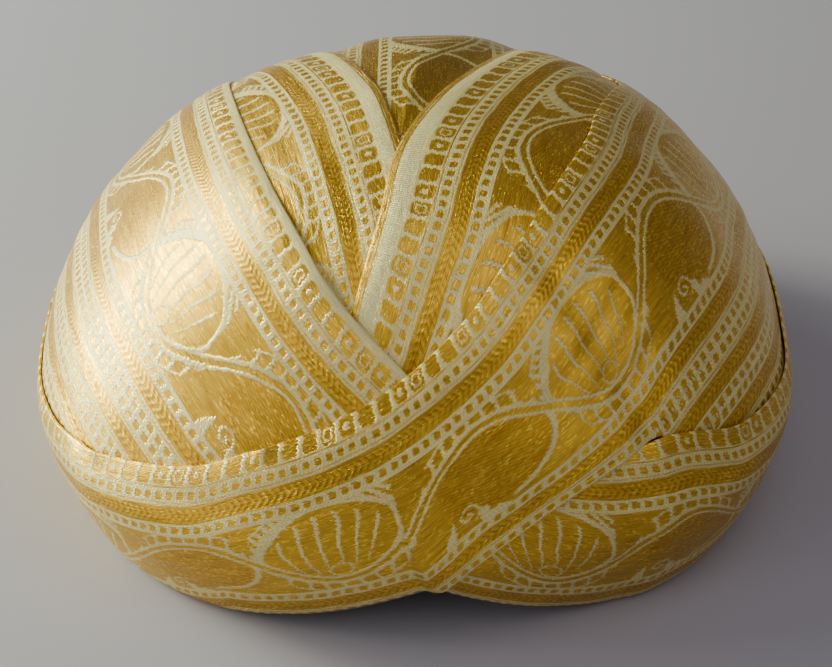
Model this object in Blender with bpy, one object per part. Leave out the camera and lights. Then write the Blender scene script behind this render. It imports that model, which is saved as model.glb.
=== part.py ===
"""Tied turban pagri: bands of folded brocade wound over a padded crown.

Metres, +Z up. The front faces -Y, the turban stands on its rim at Z = 0, and
the middle of its plan lies on the Z axis. Every band is a sheet seated on the
crown's rounded form, one cloth and one small gap above the band below it.
"""

import bpy
import numpy as np

# Padded crown, under all the bands
CROWN_WIDTH = 0.240
CROWN_DEPTH = 0.227
CROWN_HEIGHT = 0.1255
# Padding left between the head and the crown's surface, measured at the rim's level
SIDE_PADDING = 0.026
END_PADDING = 0.010
TOP_PADDING = 0.015

# Cloth of the bands, folded double, and the clearance kept between two layers
CLOTH_THICKNESS = 0.0012
LAYER_GAP = 0.0006
LAYER_PITCH = CLOTH_THICKNESS + LAYER_GAP

# Arch that lifts the rim over the brow
ARCH_RISE = 0.023
ARCH_HALF_WIDTH = 0.062
ARCH_OFFSET = 0.004
ARCH_POWER = 1.6
ARCH_CLEARANCE = 0.002

# Rounded form: plan radius at even steps of height, from the rim to the top, as
# shares of the crown's half width and half depth
CROWN_PROFILE = [0.915, 0.952, 0.985, 0.998, 0.962, 0.911, 0.835, 0.755, 0.645, 0.490, 0.0]
WIDEST_AT = 0.28
PLAN_EXPONENT = 2.45
# How much higher the crown's right side is than its middle, as a share
RIGHT_LIFT = 0.047
HOLLOW_EXPONENT = 2.3
HOLLOW_ROUND = 2.6

# Facets
CROWN_COLUMNS = 60
CROWN_SIDE_ROWS = 3
CROWN_TOP_ROWS = 10
HOLLOW_SIDE_ROWS = 2
HOLLOW_TOP_ROWS = 8
FACET_LENGTH = 0.011
FEWEST_ROWS = 2
FEWEST_COLUMNS = 6
# How much longer a way over the rounded form is than the straight line
CROWN_BULGE = 1.12
SHARP_ANGLE = np.radians(50)

# Halvings that seat a point, from a reach that is past every surface
SEAT_STEPS = 45
SEAT_REACH = 4.0
# Places along a band at which its length is measured
LENGTH_SAMPLES = 400

# Colour, roughness and metallic value of each cloth
GOLD_BROCADE = ((0.52, 0.33, 0.06, 1.0), 0.42, 0.75)
CROWN_CLOTH = ((0.36, 0.25, 0.09, 1.0), 0.7, 0.2)

# Each row is one section across a band. Its columns are the fold edge's place
# (across, along, height), the other edge's place, and the layer that it lies in.
# Seen from outside with the fold edge up, the sections follow one another rightwards.
# Places are shares of the crown's half width, half depth and height.
LEFT_WRAP = [
    (-0.43, 0.89, 0.42, -0.52, 0.87, 0.34, 1),
    (-0.46, 0.82, 0.55, -0.60, 0.81, 0.38, 1),
    (-0.50, 0.69, 0.68, -0.73, 0.70, 0.32, 1),
    (-0.52, 0.48, 0.80, -0.88, 0.51, 0.26, 1),
    (-0.48, 0.21, 0.88, -0.98, 0.19, 0.22, 1),
    (-0.43, -0.07, 0.93, -0.99, -0.14, 0.21, 1),
    (-0.36, -0.31, 0.93, -0.91, -0.46, 0.24, 1),
    (-0.28, -0.49, 0.89, -0.75, -0.69, 0.28, 1.5),
    (-0.21, -0.61, 0.83, -0.55, -0.81, 0.34, 2),
    (-0.13, -0.70, 0.77, -0.37, -0.85, 0.41, 2),
    (-0.04, -0.78, 0.71, -0.20, -0.88, 0.49, 2),
    (0.05, -0.84, 0.64, -0.05, -0.89, 0.53, 2),
]
INNER_LEFT_WRAP = [
    (-0.38, 0.91, 0.44, -0.48, 0.88, 0.41, 0),
    (-0.38, 0.84, 0.57, -0.52, 0.80, 0.50, 0),
    (-0.34, 0.73, 0.71, -0.57, 0.68, 0.61, 0),
    (-0.27, 0.57, 0.84, -0.60, 0.50, 0.73, 0),
    (-0.18, 0.36, 0.93, -0.58, 0.26, 0.81, 0),
    (-0.09, 0.09, 0.99, -0.52, -0.05, 0.87, 0),
    (-0.04, -0.13, 0.99, -0.45, -0.29, 0.87, 0),
    (0.00, -0.33, 0.96, -0.37, -0.50, 0.82, 0),
    (0.03, -0.52, 0.89, -0.27, -0.67, 0.73, 0),
    (0.07, -0.68, 0.79, -0.15, -0.79, 0.64, 0),
    (0.08, -0.80, 0.67, -0.03, -0.84, 0.58, 0),
]
RIGHT_WRAP = [
    (-0.21, -0.83, 0.62, -0.15, -0.88, 0.53, 1),
    (-0.17, -0.75, 0.73, -0.03, -0.85, 0.58, 1),
    (-0.14, -0.65, 0.82, 0.10, -0.79, 0.67, 1),
    (-0.11, -0.56, 0.89, 0.24, -0.69, 0.75, 1),
    (-0.08, -0.44, 0.94, 0.38, -0.52, 0.83, 1),
    (-0.04, -0.23, 0.99, 0.51, -0.30, 0.88, 1),
    (0.06, 0.01, 1.01, 0.59, -0.02, 0.89, 0),
    (0.20, 0.28, 0.97, 0.60, 0.22, 0.86, 0),
    (0.32, 0.50, 0.87, 0.57, 0.42, 0.81, 0),
    (0.40, 0.63, 0.77, 0.52, 0.57, 0.74, 0),
]
# Here the second place is the line where the front wrap and the lower right wrap
# cross. Three more columns: how far the front wrap runs on under the other, how far
# the other runs back under the front wrap, both as shares of the width and negative
# where they part, and the other's layer.
FRONT_WRAP = [
    (-1.02, -0.21, 0.30, -0.92, -0.20, 0.00, 2.0, 0.00, 0.00, 2.0),
    (-0.91, -0.54, 0.35, -0.82, -0.50, 0.00, 2.0, 0.00, 0.00, 2.0),
    (-0.77, -0.70, 0.39, -0.69, -0.66, 0.00, 2.7, 0.00, 0.00, 2.0),
    (-0.55, -0.86, 0.46, -0.47, -0.83, 0.00, 3.0, 0.00, 0.00, 2.0),
    (-0.41, -0.89, 0.52, -0.31, -0.88, 0.00, 3.0, 0.00, 0.10, 1.8),
    (-0.26, -0.90, 0.58, -0.13, -0.94, 0.00, 3.0, 0.00, 0.14, 1.8),
    (-0.12, -0.87, 0.64, 0.04, -0.98, 0.15, 3.0, 0.00, 0.14, 1.8),
    (0.00, -0.82, 0.71, 0.17, -1.02, 0.30, 3.0, 0.00, 0.14, 1.8),
    (0.09, -0.76, 0.77, 0.30, -0.99, 0.39, 3.0, 0.00, 0.14, 1.8),
    (0.16, -0.69, 0.82, 0.42, -0.94, 0.45, 3.0, 0.00, 0.12, 1.8),
    (0.22, -0.60, 0.87, 0.52, -0.88, 0.49, 3.0, 0.00, -0.03, 2.0),
    (0.28, -0.51, 0.91, 0.61, -0.82, 0.51, 2.0, 0.00, -0.05, 3.0),
    (0.33, -0.41, 0.94, 0.70, -0.75, 0.49, 2.0, 0.08, 0.00, 3.0),
    (0.39, -0.29, 0.96, 0.81, -0.65, 0.44, 2.0, 0.14, 0.00, 3.0),
    (0.45, -0.13, 0.96, 0.93, -0.42, 0.40, 2.0, 0.14, 0.00, 3.0),
    (0.50, 0.06, 0.95, 1.01, -0.08, 0.37, 1.0, 0.14, 0.00, 2.0),
    (0.51, 0.24, 0.92, 0.98, 0.28, 0.35, 1.0, 0.14, 0.00, 2.0),
    (0.46, 0.42, 0.89, 0.87, 0.60, 0.33, 1.0, 0.14, 0.00, 2.0),
    (0.33, 0.58, 0.84, 0.66, 0.84, 0.30, 1.0, 0.14, 0.00, 2.0),
    (0.13, 0.72, 0.77, 0.37, 0.97, 0.26, 1.0, 0.14, 0.00, 2.0),
    (-0.06, 0.80, 0.69, 0.06, 1.00, 0.21, 1.5, 0.14, 0.00, 2.5),
    (-0.28, 0.86, 0.59, -0.22, 0.98, 0.14, 2.0, 0.14, 0.00, 3.0),
    (-0.50, 0.84, 0.49, -0.46, 0.88, 0.07, 2.0, 0.10, 0.00, 3.0),
    (-0.71, 0.75, 0.40, -0.64, 0.76, 0.02, 2.0, 0.00, 0.00, 3.0),
    (-0.89, 0.56, 0.33, -0.80, 0.56, 0.00, 2.0, 0.00, 0.00, 3.0),
    (-1.00, 0.24, 0.29, -0.92, 0.22, 0.00, 2.0, 0.00, 0.00, 3.0),
]
# Sections of the front wrap between which the lower right wrap runs
SIDE_START = 4.6
SIDE_END = 22.4


def clear_scene():
    for old in list(bpy.data.objects):
        bpy.data.objects.remove(old, do_unlink=True)


def curve_through(values, at):
    """Smooth curve through a table's rows: a cubic on each pair of rows, whose
    slope at a row is half the step between its two neighbours."""
    last = len(values) - 1
    index = np.clip(np.floor(at).astype(int), 0, last - 1)
    t = (at - index)[:, None]
    before, after = np.maximum(index - 1, 0), np.minimum(index + 2, last)
    start, end = values[index], values[index + 1]
    slope_in = (end - values[before]) / 2
    slope_out = (values[after] - start) / 2
    return (
        start * (2 * t**3 - 3 * t**2 + 1)
        + slope_in * (t**3 - 2 * t**2 + t)
        + end * (3 * t**2 - 2 * t**3)
        + slope_out * (t**3 - t**2)
    )


def radius_share(height):
    """Plan radius at a share of the height, negative above the top. A smooth
    curve through the squares of the profile keeps the top round."""
    squares = np.array(CROWN_PROFILE)[:, None] ** 2
    last = len(CROWN_PROFILE) - 1
    inside = curve_through(squares, np.clip(height.ravel(), 0, 1) * last)
    over = np.clip(height - 1, 0, None)
    return np.sqrt(np.clip(inside.reshape(height.shape), 0, None)) - over


def plan_share(across, along, exponent):
    """Radius of a rounded rectangle's outline, 1 on the outline itself."""
    return (np.abs(across) ** exponent + np.abs(along) ** exponent) ** (1 / exponent)


def outside_crown(points, lift):
    """Positive outside the surface that lies lift above the crown's own."""
    across = points[..., 0] / (CROWN_WIDTH / 2 + lift)
    along = points[..., 1] / (CROWN_DEPTH / 2 + lift)
    top = (CROWN_HEIGHT + lift) * (1 + RIGHT_LIFT * across)
    return plan_share(across, along, PLAN_EXPONENT) - radius_share(points[..., 2] / top)


def outside_hollow(points, lift):
    """Positive outside the space left for the head, widened by lift."""
    rim = CROWN_PROFILE[0] / 2
    across = points[..., 0] / (rim * CROWN_WIDTH - SIDE_PADDING + lift)
    along = points[..., 1] / (rim * CROWN_DEPTH - END_PADDING + lift)
    height = np.clip(points[..., 2] / (CROWN_HEIGHT - TOP_PADDING + lift), 0, None)
    plan = plan_share(across, along, HOLLOW_EXPONENT)
    return plan**HOLLOW_ROUND + height**HOLLOW_ROUND - 1


def seat(points, outside, lift=0.0):
    """Slides each point along the line from the middle axis until it lies on a
    surface. Below the widest level that line is level, so the height stays."""
    centre = np.zeros_like(points)
    centre[..., 2] = np.minimum(points[..., 2], WIDEST_AT * CROWN_HEIGHT)
    arm = points - centre
    near = np.zeros(points.shape[:-1])
    far = np.full(points.shape[:-1], SEAT_REACH)
    for _ in range(SEAT_STEPS):
        middle = (near + far) / 2
        out = outside(centre + arm * middle[..., None], lift) > 0
        near, far = np.where(out, near, middle), np.where(out, middle, far)
    return centre + arm * near[..., None]


def rim_height(points):
    """Height of the rim: level, apart from the arch over the brow."""
    reach = 1 - np.abs(points[..., 0] - ARCH_OFFSET) / ARCH_HALF_WIDTH
    arch = ARCH_RISE * np.clip(reach, 0, 1) ** ARCH_POWER
    return np.where(points[..., 1] < 0, arch, 0.0)


def steps_through(values, at):
    """Eased steps from row to row, with no overshoot."""
    index = np.clip(np.floor(at).astype(int), 0, len(values) - 2)
    t = (at - index)[:, None]
    return values[index] + (values[index + 1] - values[index]) * t * t * (3 - 2 * t)


def wrapped(table):
    """Rows of a ring, with enough of them repeated past each end to close it."""
    rows = np.array(table, float)
    return np.vstack([rows[-2:], rows, rows[:3]])


def edges_at(table, at, closed):
    """The two edges of a band, in metres, and its remaining columns."""
    rows = wrapped(table) if closed else np.array(table, float)
    at = at + 2 if closed else at
    scale = np.array([CROWN_WIDTH / 2, CROWN_DEPTH / 2, CROWN_HEIGHT])
    places = curve_through(rows[:, :6], at)
    return places[:, :3] * scale, places[:, 3:] * scale, steps_through(rows[:, 6:], at)


def sheet_points(fold, edge, layer, rows):
    """Outer and inner points of a band between two edges, seated on its layer."""
    share = np.linspace(0, 1, rows + 1)[:, None, None]
    flat = fold + (edge - fold) * share
    lift = (LAYER_GAP + LAYER_PITCH * layer)[None, :]
    return seat(flat, outside_crown, lift + CLOTH_THICKNESS), seat(flat, outside_crown, lift)


def sheet_faces(rows, columns, closed):
    """Quads of a sheet with two sides, rows of points from the fold to the edge."""
    count = (rows + 1) * columns
    row, column = np.mgrid[0:rows, 0 : columns - (not closed)]
    a = (row * columns + column).ravel()
    b = (row * columns + (column + 1) % columns).ravel()
    outer = np.stack([a, a + columns, b + columns, b], 1)
    inner = outer[:, ::-1] + count
    c = np.arange(columns - (not closed))
    d = (c + 1) % columns
    low = rows * columns
    faces = [outer, inner, np.stack([c, d, d + count, c + count], 1)]
    faces.append(np.stack([c + low, c + low + count, d + low + count, d + low], 1))
    if not closed:
        r = np.arange(rows) * columns
        faces.append(np.stack([r, r + count, r + columns + count, r + columns], 1))
        r = r + columns - 1
        faces.append(np.stack([r, r + columns, r + columns + count, r + count], 1))
    return np.vstack(faces)


def split_short(faces, points):
    """Each quad as two triangles, cut along its shorter diagonal."""
    a, b, c, d = faces.T
    one = np.linalg.norm(points[a] - points[c], axis=1)
    other = np.linalg.norm(points[b] - points[d], axis=1)
    first = np.where(one <= other, [a, b, c], [b, c, d]).T
    second = np.where(one <= other, [a, c, d], [b, d, a]).T
    return np.vstack([first, second]).tolist()


def facet_plan(table, start, end, closed):
    """Rows across a band, and the places of its columns along the table, so that
    its facets are near the facet length. Columns are evenly spaced along the
    longer of the two edges, step by step."""
    at = np.linspace(start, end, LENGTH_SAMPLES)
    fold, edge, _ = edges_at(table, at, closed)
    steps = [np.linalg.norm(np.diff(line, axis=0), axis=1) for line in (fold, edge)]
    travel = np.concatenate([[0], np.cumsum(np.maximum(*steps))])
    width = np.linalg.norm(fold - edge, axis=1).max() * CROWN_BULGE
    rows = max(FEWEST_ROWS, round(width / FACET_LENGTH))
    columns = max(FEWEST_COLUMNS, round(travel[-1] / FACET_LENGTH))
    goals = np.linspace(0, travel[-1], columns, endpoint=not closed)
    return rows, np.interp(goals, travel, at)


def cloth_material(name, colour, roughness, metallic):
    material = bpy.data.materials.new(name)
    material.use_nodes = True
    surface = material.node_tree.nodes["Principled BSDF"]
    surface.inputs["Base Color"].default_value = colour
    surface.inputs["Roughness"].default_value = roughness
    surface.inputs["Metallic"].default_value = metallic
    return material


def add_object(name, points, faces, material):
    mesh = bpy.data.meshes.new(name)
    mesh.from_pydata(points.tolist(), [], faces)
    mesh.shade_smooth()
    mesh.set_sharp_from_angle(angle=SHARP_ANGLE)
    mesh.materials.append(material)
    thing = bpy.data.objects.new(name, mesh)
    bpy.context.scene.collection.objects.link(thing)
    return thing


def add_sheet(name, fold, edge, layer, rows, closed, material):
    """A band between two edges, as one closed solid."""
    outer, inner = sheet_points(fold, edge, layer, rows)
    points = np.vstack([outer.reshape(-1, 3), inner.reshape(-1, 3)])
    faces = split_short(sheet_faces(rows, len(fold), closed), points)
    return add_object(name, points, faces, material)


def add_band(name, table, material):
    """One wrap with two free ends, from its table of sections."""
    rows, at = facet_plan(table, 0, len(table) - 1, False)
    fold, edge, rest = edges_at(table, at, False)
    return add_sheet(name, fold, edge, rest[:, 0], rows, False, material)


def crossing_at(at):
    """The front wrap's fold, the crossing line and the other columns."""
    fold, line, rest = edges_at(FRONT_WRAP, at, True)
    line[:, 2] = np.maximum(line[:, 2], rim_height(line))
    return fold, line, rest


def add_front_band(name, material):
    """The front wrap: a whole ring, whose lower edge is the rim or runs on under
    the lower right wrap."""
    rows, at = facet_plan(FRONT_WRAP, 0, len(FRONT_WRAP), True)
    fold, line, rest = crossing_at(at)
    edge = fold + (line - fold) * (1 + rest[:, 1:2])
    edge[:, 2] = np.maximum(edge[:, 2], rim_height(edge))
    return add_sheet(name, fold, edge, rest[:, 0], rows, True, material)


def add_side_band(name, material):
    """The lower right wrap: its fold follows the crossing line or starts under the
    front wrap, and its other edge hangs straight down to the rim."""
    _, at = facet_plan(FRONT_WRAP, SIDE_START, SIDE_END, True)
    top, line, rest = crossing_at(at)
    fold = seat(top + (line - top) * (1 - rest[:, 2:3]), outside_crown)
    edge = fold.copy()
    edge[:, 2] = rim_height(fold)
    rows = max(FEWEST_ROWS, round(np.max(fold[:, 2] - edge[:, 2]) / FACET_LENGTH))
    return add_sheet(name, fold, edge, rest[:, 3], rows, False, material)


def dome_rows(outside, side_rows, top_rows, split):
    """Rings of points on a dome from the rim up: level rings to the split height,
    then rings at even angles up to one point at the top."""
    turn = np.linspace(0, 2 * np.pi, CROWN_COLUMNS, endpoint=False)
    ring = np.stack([np.cos(turn), np.sin(turn), np.zeros(CROWN_COLUMNS)], 1)
    rim = seat(ring, outside)
    foot = rim_height(rim)
    foot = np.where(foot > 0, foot + ARCH_CLEARANCE, 0.0)
    rings = []
    for share in np.linspace(0, 1, side_rows, endpoint=False):
        level = ring * CROWN_WIDTH
        level[:, 2] = foot + (split - foot) * share
        rings.append(seat(level, outside))
    for angle in np.linspace(0, np.pi / 2, top_rows, endpoint=False):
        level = ring * np.cos(angle)
        level[:, 2] = split + np.sin(angle)
        rings.append(seat(level, outside))
    top = seat(np.array([[0.0, 0.0, 1.0]]), outside)
    return np.vstack(rings + [top]), side_rows + top_rows


def add_crown(name, material):
    """Padded crown: the outer dome, the hollow for the head and the rim between."""
    split = WIDEST_AT * CROWN_HEIGHT
    outer, outer_rings = dome_rows(outside_crown, CROWN_SIDE_ROWS, CROWN_TOP_ROWS, split)
    inner, inner_rings = dome_rows(outside_hollow, HOLLOW_SIDE_ROWS, HOLLOW_TOP_ROWS, split)
    n = CROWN_COLUMNS
    first = len(outer)
    faces = []
    for start, rings, flip in ((0, outer_rings, False), (first, inner_rings, True)):
        top = start + rings * n
        for i in range(n):
            j = (i + 1) % n
            quads = [(r * n + i, r * n + j, r * n + n + j, r * n + n + i) for r in range(rings - 1)]
            new = [tuple(start + k for k in quad) for quad in quads]
            new.append((start + (rings - 1) * n + i, start + (rings - 1) * n + j, top))
            faces += [face[::-1] for face in new] if flip else new
    faces += [(i, first + i, first + (i + 1) % n, (i + 1) % n) for i in range(n)]
    return add_object(name, np.vstack([outer, inner]), faces, material)


def centre_on_base(things):
    """Moves all meshes so that the middle of the whole plan is on the Z axis."""
    corners = np.vstack([[v.co for v in thing.data.vertices] for thing in things])
    middle = (corners.min(0) + corners.max(0)) / 2
    for thing in things:
        for vertex in thing.data.vertices:
            vertex.co.x -= middle[0]
            vertex.co.y -= middle[1]


clear_scene()
gold = cloth_material("gold brocade", *GOLD_BROCADE)
plain = cloth_material("crown cloth", *CROWN_CLOTH)
centre_on_base(
    [
        add_crown("padded_crown", plain),
        add_band("inner_left_wrap", INNER_LEFT_WRAP, gold),
        add_band("right_wrap", RIGHT_WRAP, gold),
        add_band("left_wrap", LEFT_WRAP, gold),
        add_front_band("front_wrap", gold),
        add_side_band("lower_right_wrap", gold),
    ]
)
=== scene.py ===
# %% [markdown]
# # Dressing a tied turban
#
# The measured model of this turban is already built: a padded crown and five
# bands of cloth wound over it. This lesson gives each of them its finish. The real
# object is one long cloth of gold and ivory metal thread. It has an ivory
# selvedge, two borders of squares and a wide field of teardrops between them.
# All of it follows the cloth, so each band first gets its own cloth coordinates,
# and one pattern is then woven on all of them.

# %% Load the measured frame
import bpy
import mathutils
import numpy as np
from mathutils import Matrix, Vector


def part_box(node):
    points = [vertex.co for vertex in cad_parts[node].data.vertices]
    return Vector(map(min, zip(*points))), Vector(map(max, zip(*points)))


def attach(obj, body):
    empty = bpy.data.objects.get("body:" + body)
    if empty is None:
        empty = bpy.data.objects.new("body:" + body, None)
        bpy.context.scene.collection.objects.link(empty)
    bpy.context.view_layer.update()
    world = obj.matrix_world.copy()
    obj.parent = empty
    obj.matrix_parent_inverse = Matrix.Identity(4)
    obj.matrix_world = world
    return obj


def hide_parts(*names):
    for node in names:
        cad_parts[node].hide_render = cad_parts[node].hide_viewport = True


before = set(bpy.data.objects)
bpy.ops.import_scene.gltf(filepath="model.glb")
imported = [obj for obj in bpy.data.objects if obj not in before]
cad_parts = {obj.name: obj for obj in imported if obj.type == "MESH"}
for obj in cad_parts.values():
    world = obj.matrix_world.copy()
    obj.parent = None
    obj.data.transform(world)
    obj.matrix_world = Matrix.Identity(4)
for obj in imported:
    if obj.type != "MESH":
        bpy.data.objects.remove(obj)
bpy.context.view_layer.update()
print("nodes:", sorted(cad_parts))

# %% [markdown]
# ## The rounded form
#
# Every band lies on one rounded form, so the form is written once, as a function
# that is positive outside it. In plan it is a rounded rectangle, and its radius
# follows a short table from the rim to the top. A point is brought onto it by
# halving the way from the middle axis, for a whole grid of points at once.

# %% Sizes of the form, in metres
CROWN_WIDTH, CROWN_DEPTH, CROWN_HEIGHT = 0.240, 0.227, 0.1255
SIDE_PADDING, END_PADDING, TOP_PADDING = 0.026, 0.010, 0.015
CLOTH, GAP = 0.0012, 0.0006
PITCH = CLOTH + GAP
ARCH_RISE, ARCH_HALF_WIDTH, ARCH_OFFSET, ARCH_POWER = 0.023, 0.062, 0.004, 1.6
PROFILE = [0.915, 0.952, 0.985, 0.998, 0.962, 0.911, 0.835, 0.755, 0.645, 0.490, 0.0]
WIDEST_AT, PLAN_EXPONENT, RIGHT_LIFT = 0.28, 2.45, 0.047
HOLLOW_EXPONENT, HOLLOW_ROUND = 2.3, 2.6
SEAT_STEPS, SEAT_REACH = 36, 4.0

low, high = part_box("padded_crown")
MIDDLE = np.array([(low[0] + high[0]) / 2, (low[1] + high[1]) / 2, 0.0])
print("middle of the crown's plan in mm:", (MIDDLE * 1000).round(2))


# %% Curves through the rows of a table
def curve_through(values, at):
    """Cubic on each pair of rows, whose slope at a row is half the step between
    that row's two neighbours."""
    last = len(values) - 1
    index = np.clip(np.floor(at).astype(int), 0, last - 1)
    t = (at - index)[:, None]
    before, after = np.maximum(index - 1, 0), np.minimum(index + 2, last)
    start, end = values[index], values[index + 1]
    slope_in, slope_out = (end - values[before]) / 2, (values[after] - start) / 2
    return (
        start * (2 * t**3 - 3 * t**2 + 1)
        + slope_in * (t**3 - 2 * t**2 + t)
        + end * (3 * t**2 - 2 * t**3)
        + slope_out * (t**3 - t**2)
    )


def ease(t):
    """Rises from 0 to 1 with level ends: 3t squared less 2t cubed."""
    t = np.clip(t, 0, 1)
    return t * t * (3 - 2 * t)


def steps_through(values, at):
    """Eased steps from row to row, with no overshoot."""
    index = np.clip(np.floor(at).astype(int), 0, len(values) - 2)
    return values[index] + (values[index + 1] - values[index]) * ease(at - index)[:, None]


# %% The form and the hollow as functions
def radius_share(height):
    """Plan radius at a share of the height: the root of a curve through the
    squares of the profile, and negative above the top."""
    squares = np.array(PROFILE)[:, None] ** 2
    inside = curve_through(squares, np.clip(height.ravel(), 0, 1) * (len(PROFILE) - 1))
    over = np.clip(height - 1, 0, None)
    return np.sqrt(np.clip(inside.reshape(height.shape), 0, None)) - over


def plan_share(across, along, exponent):
    """Root of the sum of two powers: 1 on a rounded rectangle's outline."""
    return (np.abs(across) ** exponent + np.abs(along) ** exponent) ** (1 / exponent)


def outside_crown(points, lift):
    """Positive outside the surface that lies lift above the crown's own."""
    across = points[..., 0] / (CROWN_WIDTH / 2 + lift)
    along = points[..., 1] / (CROWN_DEPTH / 2 + lift)
    top = (CROWN_HEIGHT + lift) * (1 + RIGHT_LIFT * across)
    return plan_share(across, along, PLAN_EXPONENT) - radius_share(points[..., 2] / top)


def outside_hollow(points, lift):
    """Positive outside the space left for the head, widened by lift."""
    rim = PROFILE[0] / 2
    across = points[..., 0] / (rim * CROWN_WIDTH - SIDE_PADDING + lift)
    along = points[..., 1] / (rim * CROWN_DEPTH - END_PADDING + lift)
    height = np.clip(points[..., 2] / (CROWN_HEIGHT - TOP_PADDING + lift), 0, None)
    plan = plan_share(across, along, HOLLOW_EXPONENT)
    return plan**HOLLOW_ROUND + height**HOLLOW_ROUND - 1


# %% How a point is seated on the form, and the height of its rim
def seat(points, outside, lift=0.0):
    """Slides each point along its line from the middle axis onto the surface."""
    centre = np.zeros_like(points)
    centre[..., 2] = np.minimum(points[..., 2], WIDEST_AT * CROWN_HEIGHT)
    arm = points - centre
    near = np.zeros(points.shape[:-1])
    far = np.full(points.shape[:-1], SEAT_REACH)
    for _ in range(SEAT_STEPS):
        middle = (near + far) / 2
        out = outside(centre + arm * middle[..., None], lift) > 0
        near, far = np.where(out, near, middle), np.where(out, middle, far)
    return centre + arm * near[..., None]


def rim_height(points):
    """Height of the rim: level, apart from the arch over the brow."""
    reach = 1 - np.abs(points[..., 0] - ARCH_OFFSET) / ARCH_HALF_WIDTH
    arch = ARCH_RISE * np.clip(reach, 0, 1) ** ARCH_POWER
    return np.where(points[..., 1] < 0, arch, 0.0)


# %% [markdown]
# ## Where each band lies
#
# A band is a run of sections. Each row below places its folded edge and its other
# edge, as shares of the crown's half width, half depth and height, and says on
# which layer it lies. The front band is a ring, and its second place is the line
# where it crosses the lower right band: three more columns say how far each of the
# two runs on under the other, and the layer of the lower one.

# %% Sections of the three bands on top
# Columns: folded edge x, y, z; other edge x, y, z; layer.
LEFT = [
    (-0.43, 0.89, 0.42, -0.52, 0.87, 0.34, 1),
    (-0.46, 0.82, 0.55, -0.60, 0.81, 0.38, 1),
    (-0.50, 0.69, 0.68, -0.73, 0.70, 0.32, 1),
    (-0.52, 0.48, 0.80, -0.88, 0.51, 0.26, 1),
    (-0.48, 0.21, 0.88, -0.98, 0.19, 0.22, 1),
    (-0.43, -0.07, 0.93, -0.99, -0.14, 0.21, 1),
    (-0.36, -0.31, 0.93, -0.91, -0.46, 0.24, 1),
    (-0.28, -0.49, 0.89, -0.75, -0.69, 0.28, 1.5),
    (-0.21, -0.61, 0.83, -0.55, -0.81, 0.34, 2),
    (-0.13, -0.70, 0.77, -0.37, -0.85, 0.41, 2),
    (-0.04, -0.78, 0.71, -0.20, -0.88, 0.49, 2),
    (0.05, -0.84, 0.64, -0.05, -0.89, 0.53, 2),
]
INNER_LEFT = [
    (-0.38, 0.91, 0.44, -0.48, 0.88, 0.41, 0),
    (-0.38, 0.84, 0.57, -0.52, 0.80, 0.50, 0),
    (-0.34, 0.73, 0.71, -0.57, 0.68, 0.61, 0),
    (-0.27, 0.57, 0.84, -0.60, 0.50, 0.73, 0),
    (-0.18, 0.36, 0.93, -0.58, 0.26, 0.81, 0),
    (-0.09, 0.09, 0.99, -0.52, -0.05, 0.87, 0),
    (-0.04, -0.13, 0.99, -0.45, -0.29, 0.87, 0),
    (0.00, -0.33, 0.96, -0.37, -0.50, 0.82, 0),
    (0.03, -0.52, 0.89, -0.27, -0.67, 0.73, 0),
    (0.07, -0.68, 0.79, -0.15, -0.79, 0.64, 0),
    (0.08, -0.80, 0.67, -0.03, -0.84, 0.58, 0),
]
RIGHT = [
    (-0.21, -0.83, 0.62, -0.15, -0.88, 0.53, 1),
    (-0.17, -0.75, 0.73, -0.03, -0.85, 0.58, 1),
    (-0.14, -0.65, 0.82, 0.10, -0.79, 0.67, 1),
    (-0.11, -0.56, 0.89, 0.24, -0.69, 0.75, 1),
    (-0.08, -0.44, 0.94, 0.38, -0.52, 0.83, 1),
    (-0.04, -0.23, 0.99, 0.51, -0.30, 0.88, 1),
    (0.06, 0.01, 1.01, 0.59, -0.02, 0.89, 0),
    (0.20, 0.28, 0.97, 0.65, 0.22, 0.82, 0),
    (0.32, 0.50, 0.87, 0.64, 0.42, 0.75, 0),
    (0.40, 0.63, 0.77, 0.59, 0.60, 0.66, 0),
]
print("sections of the three bands:", len(LEFT), len(INNER_LEFT), len(RIGHT))

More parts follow.
